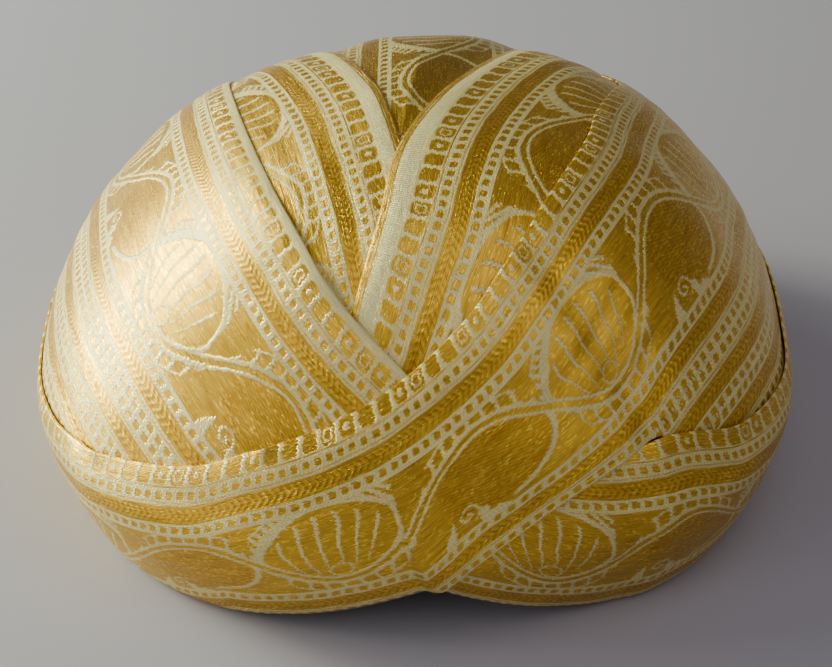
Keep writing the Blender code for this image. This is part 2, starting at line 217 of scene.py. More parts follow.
# %% Sections of the front band, with the line where it crosses the lower right band
# Columns: folded edge x, y, z; crossing line x, y, z; layer; the share of the width by
# which the front band runs on past the line, and by which the lower right band does;
# layer of the lower right band.
FRONT = [
    (-1.02, -0.21, 0.30, -0.92, -0.20, 0.00, 2.0, 0.00, 0.00, 2.0),
    (-0.91, -0.54, 0.35, -0.82, -0.50, 0.00, 2.0, 0.00, 0.00, 2.0),
    (-0.77, -0.70, 0.39, -0.69, -0.66, 0.00, 2.7, 0.00, 0.00, 2.0),
    (-0.55, -0.86, 0.46, -0.47, -0.83, 0.00, 3.0, 0.00, 0.00, 2.0),
    (-0.41, -0.89, 0.52, -0.31, -0.88, 0.00, 3.0, 0.00, 0.10, 1.8),
    (-0.26, -0.90, 0.58, -0.13, -0.94, 0.00, 3.0, 0.00, 0.14, 1.8),
    (-0.12, -0.87, 0.64, 0.04, -0.98, 0.15, 3.0, 0.00, 0.14, 1.8),
    (0.00, -0.82, 0.71, 0.17, -1.02, 0.30, 3.0, 0.00, 0.14, 1.8),
    (0.09, -0.76, 0.77, 0.30, -0.99, 0.39, 3.0, 0.00, 0.14, 1.8),
    (0.16, -0.69, 0.82, 0.42, -0.94, 0.45, 3.0, 0.00, 0.12, 1.8),
    (0.22, -0.60, 0.87, 0.52, -0.88, 0.49, 3.0, 0.00, 0.00, 2.0),
    (0.28, -0.51, 0.91, 0.61, -0.82, 0.51, 2.0, 0.00, 0.00, 3.0),
    (0.33, -0.41, 0.94, 0.70, -0.75, 0.49, 2.0, 0.08, 0.00, 3.0),
    (0.39, -0.29, 0.96, 0.81, -0.65, 0.44, 2.0, 0.14, 0.00, 3.0),
    (0.45, -0.13, 0.96, 0.93, -0.42, 0.40, 2.0, 0.14, 0.00, 3.0),
    (0.50, 0.06, 0.95, 1.01, -0.08, 0.37, 1.0, 0.14, 0.00, 2.0),
    (0.54, 0.24, 0.89, 0.98, 0.28, 0.35, 1.0, 0.14, 0.00, 2.0),
    (0.56, 0.45, 0.79, 0.87, 0.60, 0.33, 1.0, 0.14, 0.00, 2.0),
    (0.44, 0.63, 0.76, 0.66, 0.84, 0.30, 1.0, 0.14, 0.00, 2.0),
    (0.13, 0.72, 0.77, 0.37, 0.97, 0.26, 1.0, 0.14, 0.00, 2.0),
    (-0.06, 0.80, 0.69, 0.06, 1.00, 0.21, 1.5, 0.14, 0.00, 2.5),
    (-0.28, 0.86, 0.59, -0.22, 0.98, 0.14, 2.0, 0.14, 0.00, 3.0),
    (-0.50, 0.84, 0.49, -0.46, 0.88, 0.07, 2.0, 0.10, 0.00, 3.0),
    (-0.71, 0.75, 0.40, -0.64, 0.76, 0.02, 2.0, 0.00, 0.00, 3.0),
    (-0.89, 0.56, 0.33, -0.80, 0.56, 0.00, 2.0, 0.00, 0.00, 3.0),
    (-1.00, 0.24, 0.29, -0.92, 0.22, 0.00, 2.0, 0.00, 0.00, 3.0),
]
SIDE_START, SIDE_END = 4.6, 22.4
print("sections of the front band:", len(FRONT))


# %% Edges of a band at any place along it
def edges_at(table, at, closed=False):
    """The two edges, in metres, and the remaining columns of the table."""
    rows = np.array(table, float)
    if closed:
        rows = np.vstack([rows[-2:], rows, rows[:3]])
        at = at + 2
    scale = np.array([CROWN_WIDTH / 2, CROWN_DEPTH / 2, CROWN_HEIGHT])
    places = curve_through(rows[:, :6], at)
    return places[:, :3] * scale, places[:, 3:] * scale, steps_through(rows[:, 6:], at)


def crossing_at(at):
    """The front band's fold, the crossing line kept above the rim, and the rest."""
    fold, line, rest = edges_at(FRONT, at, True)
    line[:, 2] = np.maximum(line[:, 2], rim_height(line))
    return fold, line, rest


# %% Places along a band that are an even step apart
FINE_PLACES = 1200


def even_places(edges, start, end, step):
    """Places along a table whose sections are a step apart on the longer edge: the
    length is summed over many fine places, and read backwards."""
    at = np.linspace(start, end, FINE_PLACES)
    fold, edge = edges(at)[:2]
    travel = [np.linalg.norm(np.diff(line, axis=0), axis=1) for line in (fold, edge)]
    travel = np.concatenate([[0], np.cumsum(np.maximum(*travel))])
    count = int(travel[-1] / step)
    return np.interp(np.linspace(0, travel[-1], count), travel, at)


# %% [markdown]
# ## From a band to a mesh
#
# A folded band is two plies of cloth with a round fold. Its section is therefore a
# loop: out over the face, round the fold, back along the inside and round the
# other edge. All sections together are one grid, which closes on itself across the
# band, and also along it for the ring. The relief is added while seating: a slow
# swell of the padding, and shallow creases that run along the cloth.

# %% One closed grid becomes one mesh
def grid_mesh(name, points, cloth_u, cloth_c, ring):
    """Quads over a grid that closes across the band, and along it for a ring. The
    UV of a corner is (u, c): millimetres along the cloth and across it."""
    rows, columns = points.shape[:2]
    r, c = np.mgrid[0:rows, 0 : columns - (not ring)]
    r, c = r.ravel(), c.ravel()
    corner_r = np.stack([r, (r + 1) % rows, (r + 1) % rows, r], 1)
    corner_c = np.stack([c, c, c + 1, c + 1], 1)
    loops = (corner_r * columns + corner_c % columns).astype(np.int32)
    if ring:
        step = cloth_u[:, -1:] - cloth_u[:, -2:-1]
        cloth_u = np.concatenate([cloth_u, cloth_u[:, -1:] + step], 1)
        cloth_c = np.concatenate([cloth_c, cloth_c[:, :1]], 1)
    uv = np.stack([cloth_u[corner_r, corner_c], cloth_c[corner_r, corner_c]], 2)
    if not ring:
        half = rows // 2
        k = np.arange(half)
        for column, turn in ((0, False), (columns - 1, True)):
            a, b = k, np.minimum(k + 1, half - 1)
            cap = np.stack([a, rows - 1 - a, rows - 1 - b, b], 1)[:-1]
            cap = cap[:, ::-1] if turn else cap
            loops = np.vstack([loops, (cap * columns + column).astype(np.int32)])
            uv = np.concatenate([uv, np.stack([cloth_u[cap, column], cloth_c[cap, column]], 2)])
    return quad_mesh(name, points.reshape(-1, 3), loops, uv.reshape(-1, 2))


# %% One mesh from whole arrays
def quad_mesh(name, vertices, loops, uv):
    """A smooth mesh from whole arrays, turned so that its volume is positive."""
    corner = vertices[loops]
    one, two = corner[:, 1] - corner[:, 0], corner[:, 2] - corner[:, 0]
    if np.einsum("ij,ij->i", corner[:, 0], np.cross(one, two)).sum() < 0:
        loops = loops[:, ::-1]
        uv = uv.reshape(-1, 4, 2)[:, ::-1].reshape(-1, 2)
    mesh = bpy.data.meshes.new(name)
    mesh.vertices.add(len(vertices))
    mesh.vertices.foreach_set("co", vertices.astype(np.float32).ravel())
    mesh.loops.add(loops.size)
    mesh.loops.foreach_set("vertex_index", loops.astype(np.int32).ravel())
    mesh.polygons.add(len(loops))
    mesh.polygons.foreach_set("loop_start", np.arange(0, loops.size, 4, dtype=np.int32))
    mesh.update(calc_edges=True)
    layer = mesh.uv_layers.new(name="cloth")
    layer.data.foreach_set("uv", uv.astype(np.float32).ravel())
    mesh.shade_smooth()
    mesh.validate()
    piece = bpy.data.objects.new(name, mesh)
    bpy.context.scene.collection.objects.link(piece)
    print(f"{name}: {2 * len(loops)} triangles")
    return piece


# %% The relief of wound cloth, in metres
SWELL, SWELL_LENGTHS = 0.00040, (0.031, 0.017)
CREASE, CREASE_WIDTHS, CREASE_WAVE = 0.00018, (0.0016, 0.0027), 0.023
PATCH_LENGTH, PATCH_WIDTH = 0.029, 0.012


def relief(u, v, width, seed):
    """Height of the face above its smooth form: a low arch between the edges, a
    slow swell along the band, and creases that are long along it and short across."""
    arch = np.sin(np.pi * np.clip(v / width, 0, 1))
    swell = np.sin(u / SWELL_LENGTHS[0] + 1.7 * seed + 9 * v)
    swell += 0.6 * np.sin(u / SWELL_LENGTHS[1] + 40 * v + seed)
    crease = np.sin(v / CREASE_WIDTHS[0] + 2.2 * np.sin(u / CREASE_WAVE + seed) + 11 * u)
    crease += 0.7 * np.sin(v / CREASE_WIDTHS[1] - 16 * u + 1.3 * seed)
    patch = 0.5 + 0.5 * np.sin(u / PATCH_LENGTH + 2.1 * seed) * np.sin(v / PATCH_WIDTH + seed)
    return arch * (SWELL * (0.9 + 0.35 * swell) + CREASE * crease * patch)


# %% [markdown]
# ## Cloth coordinates
#
# The pattern is woven into the cloth, so it bends with it. Along the band the
# coordinate u is the length on a line a quarter of the way in from the fold. Across
# it, c is the distance from the cloth's own selvedge, so a fold that hides 10 mm of
# cloth starts at c = 10. A border keeps its width, and the field between two
# borders takes up what is left.

# %% Places in the weave, in millimetres from the selvedge
FIELD_MIDDLE = 50.8
BORDER_END = 34.0
FIELD_END = 2 * FIELD_MIDDLE - BORDER_END
LAST_SHOWN = 83.2
EDGE_GOLD, LARGE_START = 2.9, 11.0
NARROW_PLEAT, WIDE_PLEAT = 8.0, 15.0


def pleated(beyond, width):
    """Past the lower squares the cloth lies in pleats, which show the last strip of
    the weave back and forth: a triangle wave of the distance."""
    return LAST_SHOWN - np.abs(np.mod(beyond + width, 2 * width) - width)


def from_fold(v, start):
    """Distance from the fold plus what the fold hides, then pleats."""
    c = start + v
    return np.where(c > LAST_SHOWN, pleated(c - LAST_SHOWN, NARROW_PLEAT), c)


def between_borders(v, line, start, end, lower_scale=1.0):
    """Upper border at its own width, the field stretched or squeezed, and the lower
    border at its own width times a scale as far as the line, where c reaches end."""
    upper = BORDER_END - start
    last = np.maximum(end - FIELD_END, 0)
    lower = last * lower_scale
    middle = line - upper - lower
    c = start + np.clip(v, 0, upper)
    c = c + (end - last - BORDER_END) * np.clip((v - upper) / middle, 0, 1)
    c = c + last * np.clip((v - upper - middle) / np.maximum(lower, 0.1), 0, 1)
    return np.where(v > line, pleated(v - line, WIDE_PLEAT), c)


# %% Rows across a band, distances on it, and the shape of its edges
EDGE_STEPS = np.array([0.0, 0.06, 0.16, 0.32, 0.55, 0.9, 1.5]) / 1000
ACROSS_STEP, ALONG_STEP = 0.0013, 0.0016
ROLL, BEAD, BEAD_IN = 0.00035, 0.00004, 0.0009


def shares_across(fold, edge):
    """Shares of the width, with close rows by both edges, for every section."""
    width = np.linalg.norm(fold - edge, axis=1)
    count = int(width.max() / ACROSS_STEP)
    close = EDGE_STEPS[:, None] / width
    inner = np.linspace(0, 1, count)[1:-1, None]
    inner = close[-1] + inner * (1 - 2 * close[-1])
    return np.vstack([close, inner, 1 - close[::-1]])


def distances(seated):
    """u and v of a seated grid: v sums the steps down each column, and u the steps
    along the row that lies a quarter of the way in."""
    v = np.linalg.norm(np.diff(seated, axis=0), axis=2)
    v = np.vstack([np.zeros(v.shape[1]), np.cumsum(v, 0)])
    u = np.linalg.norm(np.diff(seated[len(seated) // 4], axis=0), axis=1)
    return np.broadcast_to(np.concatenate([[0], np.cumsum(u)]), v.shape), v


def rolled(distance):
    """Half thickness of the cloth near an edge: a quarter circle, then level."""
    return ROLL * np.sqrt(1 - np.clip(1 - distance / ROLL, 0, 1) ** 2)


def bead(distance):
    """A low round ridge just inside an edge, where the fold is thickest."""
    return BEAD * np.exp(-(((distance - BEAD_IN) / BEAD_IN) ** 2))


# %% A band as a closed grid with its relief and its cloth coordinates
DIP, DIP_WIDTH = 0.0007, 0.006
TUCK, TUCK_WIDTH = 0.0022, 0.0045
PIECES, MEASURES = {}, {}


def wound_band(name, fold, edge, layer, across, ring=False, seed=0.0, tuck=0.0, gape=0.0):
    """A band between two edges. Its middle lies on its layer, dips at the fold, stands
    off by gape and is tucked down at the other edge. Its face is the middle plus the
    half thickness and the relief, and its back the middle less the half thickness."""
    share = shares_across(fold, edge)
    flat = fold + (edge - fold) * share[..., None]
    base = GAP + PITCH * layer + ROLL
    u, v = distances(seat(flat, outside_crown, base))
    width = v[-1]
    from_edge = width - v
    middle = base - tuck * TUCK * np.clip(1 - from_edge / TUCK_WIDTH, 0, 1) ** 2
    middle = middle + (gape - DIP) * np.clip(1 - v / DIP_WIDTH, 0, 1) ** 2
    thick = rolled(np.minimum(v, from_edge))
    face = middle + thick + relief(u, v, width, seed) + bead(v) + 0.6 * bead(from_edge)
    outer = seat(flat, outside_crown, face)
    inner = seat(flat, outside_crown, middle - thick)
    points = np.vstack([outer, inner[::-1]]) + MIDDLE
    c = across(v * 1000, width * 1000)
    cloth_u, cloth_c = (np.vstack([value, value[::-1]]) for value in (u * 1000, c))
    PIECES[name] = grid_mesh(name, points, cloth_u, cloth_c, ring)
    area = float((width[:-1] * np.diff(u[0])).sum())
    MEASURES[name] = float(u[0, -1]), float(width.max()), area
    narrow, wide = 1000 * width.min(), 1000 * width.max()
    print(f"  {1000 * u[0, -1]:.0f} mm long, {narrow:.0f} to {wide:.0f} mm wide")


# %% [markdown]
# ## The five bands
#
# The three bands on top lie flat, and each is a strip between two ends that the
# next band hides. The front band is the ring that holds them all. The lower right
# band starts under it at the brow, and laps over it on the right, where its edge
# stands a little off and leaves a dark line.

# %% Three bands over the top
INNER_LEAD, LEFT_HIDDEN = 3.0, 8.4
LEAD_AT = [0, 0.15, 0.25, 0.48, 0.6, 0.75, 1]
RIGHT_LEAD = [1.5, 1.7, 3.0, 1.2, 2.6, 4.6, 5.0]


def from_selvedge(v, lead):
    """The gold edge at its own width, then the ivory strip shorter by lead."""
    strip = LARGE_START - EDGE_GOLD
    c = EDGE_GOLD + (v - EDGE_GOLD) * strip / (strip - lead)
    return np.where(v < EDGE_GOLD, v, np.where(c < LARGE_START, c, v + lead))


def simple_band(name, table, across, seed):
    """One band from its table, with its own rule for the cloth coordinate."""
    at = even_places(lambda at: edges_at(table, at), 0, len(table) - 1, ALONG_STEP)
    fold, edge, rest = edges_at(table, at)
    wound_band(name, fold, edge, rest[:, 0], across, seed=seed)


def right_across(v, width):
    """The ivory strip is narrower near the crossing and over the top."""
    return from_selvedge(v, np.interp(np.linspace(0, 1, v.shape[1]), LEAD_AT, RIGHT_LEAD))


simple_band("inner_left_cloth", INNER_LEFT, lambda v, width: from_selvedge(v, INNER_LEAD), 0.4)
simple_band("right_cloth", RIGHT, right_across, 1.9)
simple_band("left_cloth", LEFT, lambda v, width: from_fold(v, LEFT_HIDDEN), 3.1)


# %% The ring round the front and the back
def bumps(at, table):
    """Sum of smooth bumps: each row gives a place, a half width and a height."""
    return sum(height * np.exp(-(((at - place) / half) ** 2)) for place, half, height in table)


# Columns: place along the front band's table, half width and height in metres.
FRONT_GAPES = [(1.0, 0.35, 0.0010), (1.9, 0.25, 0.0010), (4.3, 0.13, 0.0013)]
SIDE_GAPES = [(12.7, 0.9, 0.0008), (14.3, 0.7, 0.0006)]
FRONT_LINE, LINE_ROUND, FRONT_SQUEEZE, MORE_SQUEEZE = 73.2, 3.0, 17.0, 5.0
FRONT_HIDDEN, NARROWED, NARROWED_AT, NARROWED_OVER = 11.5, 0.34, 8.2, 2.3
SQUEEZED_FROM, SQUEEZED_OVER, RIM_REACH = 2.5, 1.5, 0.004

at = even_places(crossing_at, 0, len(FRONT), ALONG_STEP)[:-1]
fold, line, rest = crossing_at(at)
edge = fold + (line - fold) * (1 + rest[:, 1:2])
edge[:, 2] = np.maximum(edge[:, 2], rim_height(edge))
at_rim = np.clip(1 - (edge[:, 2] - rim_height(edge)) / RIM_REACH, 0, 1)


def front_across(v, width):
    """The lower border ends at the edge, or at the line where the band is wider. A
    root rounds the corner between the two."""
    line = (width + FRONT_LINE - np.hypot(width - FRONT_LINE, LINE_ROUND)) / 2
    squeeze = FRONT_SQUEEZE + MORE_SQUEEZE * ease((at - SQUEEZED_FROM) / SQUEEZED_OVER)
    lower_scale = 1 - NARROWED * np.exp(-(((at - NARROWED_AT) / NARROWED_OVER) ** 2))
    end = np.minimum(LAST_SHOWN, line + squeeze)
    return between_borders(v, line, FRONT_HIDDEN, end, lower_scale)


wound_band(
    "front_cloth", fold, edge, rest[:, 0], front_across,
    ring=True, seed=0.9, tuck=at_rim, gape=bumps(at, FRONT_GAPES),
)


# %% The lower right band
SIDE_HIDDEN, RIM_SLOPE, SHOWN_FROM, SHOWN_OVER = 11.2, 1.05, 10.6, 1.6


def side_edges(at):
    """The band's fold, which follows the crossing line, and its edge on the rim."""
    top, line, rest = crossing_at(at)
    fold = seat(top + (line - top) * (1 - rest[:, 2:3]), outside_crown)
    edge = fold.copy()
    edge[:, 2] = rim_height(fold)
    return fold, edge, rest


def side_across(v, width):
    """Rows that follow the rim where the front band cuts them, and both edges
    where the fold shows."""
    follows_rim = LAST_SHOWN - RIM_SLOPE * (width - v)
    follows_both = between_borders(v, width, SIDE_HIDDEN, LAST_SHOWN)
    shown = ease((at - SHOWN_FROM) / SHOWN_OVER)
    return follows_rim * (1 - shown) + follows_both * shown


at = even_places(side_edges, SIDE_START, SIDE_END, ALONG_STEP)
fold, edge, rest = side_edges(at)
wound_band(
    "lower_right_cloth", fold, edge, rest[:, 3], side_across,
    seed=2.3, tuck=1.0, gape=bumps(at, SIDE_GAPES),
)


# %% [markdown]
# ## The padded crown
#
# The crown is one closed dome: brocade outside, plain cotton round the head. Its
# section runs from the top down the outside, round the soft rim, and up the inside
# to the top of the hollow. That line is turned once round, and each turn of it is
# seated on the outer form or on the hollow. Where the bands leave it bare, between
# the two selvedges, the padding swells a little.

# %% One dome, for the outside and for the hollow
CROWN_TURNS, CROWN_RINGS, HOLLOW_RINGS, RIM_RINGS = 300, 110, 60, 8
UPPER_SHARE, RIM_ROUND, RIM_POWER, ARCH_CLEAR = 0.75, 0.004, 0.6, 0.002
TURN = np.linspace(0, 2 * np.pi, CROWN_TURNS, endpoint=False)


def dome(outside, rings, lift_of):
    """Rings from the top down: even angles to the widest level, then even heights
    down to the foot, where the round of the rim begins."""
    ring = np.stack([np.cos(TURN), np.sin(TURN), np.zeros(CROWN_TURNS)], 1)
    split = WIDEST_AT * CROWN_HEIGHT
    high_rings = int(rings * UPPER_SHARE)
    angle = np.linspace(np.pi / 2, 0, high_rings + 1)[1:, None, None]
    upper = ring * np.cos(angle)
    upper[..., 2:] += split + np.sin(angle)
    rim = seat(ring[None], outside)[0]
    foot = rim_height(rim)
    foot = np.where(foot > 0, foot + ARCH_CLEAR, 0.0) + RIM_ROUND
    down = np.linspace(0, 1, rings - high_rings + 1)[1:, None]
    lower = np.broadcast_to(ring, (len(down), CROWN_TURNS, 3)) * CROWN_WIDTH
    lower[..., 2] = split + (foot - split) * down
    grid = np.concatenate([upper, lower])
    flat = seat(grid, outside)
    return seat(grid, outside, lift_of(flat))


# %% The swell between the two selvedges
# Each selvedge: places along y, and its x at each, in shares of the half sizes.
LEFT_SELVEDGE = ([-0.33, 0.09, 0.36, 0.73, 0.91], [-0.02, -0.09, -0.18, -0.34, -0.38])
RIGHT_SELVEDGE = ([-0.33, 0.01, 0.28, 0.50, 0.63], [-0.05, 0.06, 0.20, 0.32, 0.40])
SWELL_IN_V, V_HALF_WIDTH, SWELL_RISE = 0.0032, 0.30, 1.6
SWELL_END, SWELL_FADE = 0.95, 0.35


def crown_lift(points):
    """Swell of the bare triangle: highest on its middle line and nothing at the
    selvedges, which part from each other towards the back."""
    x, y = points[..., 0] / (CROWN_WIDTH / 2), points[..., 1] / (CROWN_DEPTH / 2)
    left_line, right_line = np.interp(y, *LEFT_SELVEDGE), np.interp(y, *RIGHT_SELVEDGE)
    within = np.minimum(x - left_line, right_line - x) / V_HALF_WIDTH
    on_top = points[..., 2] > WIDEST_AT * CROWN_HEIGHT
    fade = ease((SWELL_END - y) / SWELL_FADE)
    return np.where(on_top, SWELL_IN_V * ease(within * SWELL_RISE) * fade, 0.0)


# %% The crown's section, from the top down the outside and up the inside
outer = dome(outside_crown, CROWN_RINGS, crown_lift)
inner = dome(outside_hollow, HOLLOW_RINGS, lambda points: 0.0)
side = np.linspace(0, np.pi, RIM_RINGS + 2)[1:-1, None, None]
centre, half = (outer[-1] + inner[-1]) / 2, (outer[-1] - inner[-1]) / 2
foot = centre + half * np.cos(side)
foot[..., 2] -= RIM_ROUND * np.sin(side[..., 0]) ** RIM_POWER
points = np.concatenate([outer, foot, inner[::-1]]) + MIDDLE
rings = len(points)
inside_from = len(outer) + RIM_RINGS // 2
print("crown rings:", rings, "of which inside:", rings - inside_from)


# %% Cloth coordinates of the crown: length from the top, laid out in plan
CROWN_MIDDLE_X, CROWN_MIDDLE_Y = 10.0, 12.0
travel = np.linalg.norm(np.diff(outer, axis=0), axis=2)
travel = 1000 * np.vstack([np.full(CROWN_TURNS, travel[0].mean()), travel]).cumsum(0)
travel = np.vstack([travel, np.broadcast_to(travel[-1], (rings - len(outer), CROWN_TURNS))])
plan_u = travel * np.sin(TURN) - CROWN_MIDDLE_Y
plan_c = FIELD_MIDDLE + travel * np.cos(TURN) - CROWN_MIDDLE_X
print(f"length from the top to the rim: {travel[-1].min():.0f} to {travel[-1].max():.0f} mm")


# %% The crown's mesh, with both poles closed
def ring_cap(ring, turns):
    """Quads over a ring with an even number of points: each joins the edge from k to
    k + 1 with the edge opposite it."""
    k = np.arange(turns // 2 - 1)
    return ring * turns + np.stack([k, k + 1, turns - 2 - k, turns - 1 - k], 1)


r, c = (grid.ravel() for grid in np.mgrid[0 : rings - 1, 0:CROWN_TURNS])
beside = (c + 1) % CROWN_TURNS
wall = np.stack([r, r + 1, r + 1, r], 1) * CROWN_TURNS + np.stack([c, c, beside, beside], 1)
caps = ring_cap(0, CROWN_TURNS), ring_cap(rings - 1, CROWN_TURNS)[:, ::-1]
loops = np.vstack([wall, *caps])
uv = np.stack([plan_u.ravel(), plan_c.ravel()], 1)[loops]
crown = quad_mesh("crown_cloth", points.reshape(-1, 3), loops, uv.reshape(-1, 2))
PIECES["crown_cloth"] = crown
face_ring = np.concatenate([r, np.repeat([0, rings], CROWN_TURNS // 2 - 1)])
in_hollow = (face_ring >= inside_from).astype(np.int32)
crown.data.polygons.foreach_set("material_index", in_hollow)
print("crown faces:", len(loops), "of which cotton:", in_hollow.sum())


# %% [markdown]
# ## Formulas as node trees
#
# The weave is a formula in u and c, and a formula is easier to read as one line than
# as twenty boxes. Each sign used on a Number below adds one Math node, so the
# functions after it read like sums and still leave an ordinary node group.

# %% Numbers that write Math nodes
def math_step(operation, swapped=False):
    """A method that adds one Math node of this operation, its values swapped or not."""

    def step(self, *others):
        values = (self, *others)
        return self.node(operation, values[::-1] if swapped else values)

    return step


class Number:
    """One value of a node tree, with the signs and steps that formulas need."""

    def __init__(self, tree, source):
        self.tree, self.source = tree, source

    def node(self, operation, values, clamped=False):
        """Adds one Math node, fed by Numbers and plain values."""
        node = self.tree.nodes.new("ShaderNodeMath")
        node.operation, node.use_clamp = operation, clamped
        for socket, value in zip(node.inputs, values):
            if isinstance(value, Number):
                self.tree.links.new(value.source, socket)
            else:
                socket.default_value = float(value)
        return Number(self.tree, node.outputs[0])

    __add__, __radd__ = math_step("ADD"), math_step("ADD", swapped=True)
    __sub__, __rsub__ = math_step("SUBTRACT"), math_step("SUBTRACT", swapped=True)
    __mul__, __rmul__ = math_step("MULTIPLY"), math_step("MULTIPLY", swapped=True)
    __truediv__, __pow__, __abs__ = math_step("DIVIDE"), math_step("POWER"), math_step("ABSOLUTE")
    least, most, root = math_step("MINIMUM"), math_step("MAXIMUM"), math_step("SQRT")
    sine, cosine, angle = math_step("SINE"), math_step("COSINE"), math_step("ARCTAN2")

    def share(self):
        """The value held between 0 and 1."""
        return self.node("ADD", (self, 0.0), clamped=True)

    def cell(self, pitch):
        """The whole number of the cell that the value is in."""
        return self.node("FLOOR", (self / pitch,))

    def in_cell(self, pitch):
        """Distance from the middle of the cell: minus half a pitch to half a pitch."""
        return self - (self.cell(pitch) + 0.5) * pitch


# %% Masks with soft edges
BLUR = 0.28


def stripe(value, middle, half, blur=BLUR):
    """1 within half of the middle, with edges one blur wide."""
    return ((half - abs(value - middle)) / blur + 0.5).share()


def inside(distance, blur=BLUR):
    """1 where the distance is negative."""
    return (0.5 - distance / blur).share()


def either(one, two):
    """The higher of two masks."""
    return one.most(two)


def without(one, two):
    """The first mask with the second taken out."""
    return one * (1 - two)


# %% [markdown]
# ## The weave
#
# On the loom the gold ground and the ivory figure are two wefts, and only one of
# them shows at each place. The group below therefore gives one mask, ivory or gold.
# It adds the height of the threads and a streak value, which follows single
# threads. All the distances are in millimetres, as read from the cloth.

# %% Borders: rows of squares, a striped band and the selvedge
LARGE_PITCH, LARGE_HALF, LARGE_ROW = 6.6, (2.65, 3.1), 14.2
SMALL_PITCH, SMALL_HALF, SMALL_ROWS = 3.9, (1.2, 1.2), (20.4, 31.5)
STRIPE_MIDDLE, STRIPE_HALF = 26.5, 2.9


def squares(u, b, row, pitch, half):
    """Roundness measure of a row of squares: 1 on their outline, 0 in their middle."""
    x, y = abs(u.in_cell(pitch)) / half[0], abs(b - row) / half[1]
    return (x**4 + y**4) ** 0.25


def borders(u, b):
    """Ivory mask, for b millimetres from the nearer selvedge."""
    large = squares(u, b, LARGE_ROW, LARGE_PITCH, LARGE_HALF)
    kind = (u.cell(LARGE_PITCH) * 2.4).sine()
    hole = inside(large - 0.33, 0.12) * inside(0.62 - kind, 0.1)
    slit = stripe(large, 0.52, 0.08, 0.12) * inside(kind + 0.8, 0.1)
    large_gold = without(inside(large - 1, 0.14), either(hole, slit))
    small_gold = either(
        inside(squares(u, b, SMALL_ROWS[0], SMALL_PITCH, SMALL_HALF) - 1, 0.25),
        inside(squares(u + 1.3, b, SMALL_ROWS[1], SMALL_PITCH, SMALL_HALF) - 1, 0.25),
    )
    lines = either(stripe(b, 17.9, 0.22), stripe(b, 22.6, 0.18))
    gold = either(either(large_gold, small_gold), lines)
    gold = either(gold, stripe(b, STRIPE_MIDDLE, STRIPE_HALF))
    ground = stripe(b, (EDGE_GOLD + BORDER_END) / 2, (BORDER_END - EDGE_GOLD) / 2)
    edge_lines = either(stripe(b, 0.9, 0.12), stripe(b, 1.9, 0.12))
    return either(without(ground, gold), edge_lines)


# %% Field: the wave with its chain of squares
REPEAT = 92.7
WAVE, STEM_HALF, LINE_HALF = 12.4, 1.30, 0.46
CHAIN_OFF, CHAIN_LINKS, CHAIN_HALF, CHAIN_GROUND = 3.9, 19, (1.95, 1.75), 2.3


def wave_parts(s, t):
    """Cosine of the phase at s, and the distance from the stem's middle line. It
    is positive on the side of the teardrop at a crest and of the fan at a trough."""
    phase = s * (2 * np.pi / REPEAT)
    cosine, slope = phase.cosine(), phase.sine() * (WAVE * 2 * np.pi / REPEAT)
    away = (t + cosine * WAVE) / (1 + slope * slope).root()
    return cosine, away


def wave(s, cosine, away):
    """Ivory mask of a stem between two lines, with a chain of squares on the side
    that a crest or a trough turns outward."""
    lines = stripe(abs(away), STEM_HALF, LINE_HALF)
    outward = away * (1 - 2 * inside(0 - cosine, 0.2))
    taper = (abs(cosine) * 2.8 - 0.35).share() * CHAIN_GROUND
    middle = CHAIN_OFF - CHAIN_GROUND + taper
    ground = stripe(outward, middle, taper)
    links = squares(s, outward, CHAIN_OFF, REPEAT / CHAIN_LINKS, CHAIN_HALF)
    links = inside(links - 1, 0.25) * inside(0.24 - abs(cosine), 0.1)
    return either(lines, without(ground * inside(0.12 - abs(cosine), 0.1), links))


# %% Field: the teardrop under the crest, and its curl
DROP_MIDDLE, DROP_HALF = (2.0, 1.4), (19.8, 13.6)
CURL_MIDDLE, CURL_RADIUS, CURL_PITCH = (-9.6, 11.6), 3.6, 2.5


def ellipse(x, y, half):
    """1 on an ellipse's outline and 0 at its middle."""
    return ((x / half[0]) ** 2 + (y / half[1]) ** 2).root()


def drop(s, t, away):
    """The teardrop has the stem for its back. Its round end is a line of its own."""
    level = ellipse(s - DROP_MIDDLE[0], t - DROP_MIDDLE[1], DROP_HALF)
    return stripe(level, 1.0, 0.050, 0.03) * inside(4.0 - s, 2.0) * inside(STEM_HALF - away, 0.5)


def hatching(s, t, away):
    """Fine slanting lines in the teardrop, where the gold is bound another way."""
    level = ellipse(s - DROP_MIDDLE[0], t - DROP_MIDDLE[1], DROP_HALF)
    lines = ((t - s * 0.42) * (2 * np.pi / 1.15)).sine() * 0.5 + 0.5
    return lines * inside(level - 0.93, 0.06) * inside(STEM_HALF + 0.6 - away, 0.5)


def curl(s, t):
    """A spiral whose line turns once for each pitch of radius, and the leaf-shaped
    corners that lead the border up to it."""
    x, y = s - CURL_MIDDLE[0], t - CURL_MIDDLE[1]
    radius = (x * x + y * y).root()
    turn = radius - y.angle(x) * (CURL_PITCH / (2 * np.pi)) + 0.4
    spiral = stripe(turn.in_cell(CURL_PITCH), 0.0, 0.36) * inside(radius - CURL_RADIUS)
    right = inside((x - 3.0) * 0.62 + 11.0 - t, 0.3) * stripe(x, 7.5, 4.4)
    right = without(right, inside(ellipse(x - 7.2, t - 14.2, (1.2, 1.0)) - 1, 0.25))
    left = inside((x + 6.2) * -1.5 + 12.0 - t, 0.3) * inside(x + 4.6)
    left = left * inside(-9.0 - x) * inside((x + 9.0) * -1.0 + 9.0 - t)
    return either(spiral, either(right, left))


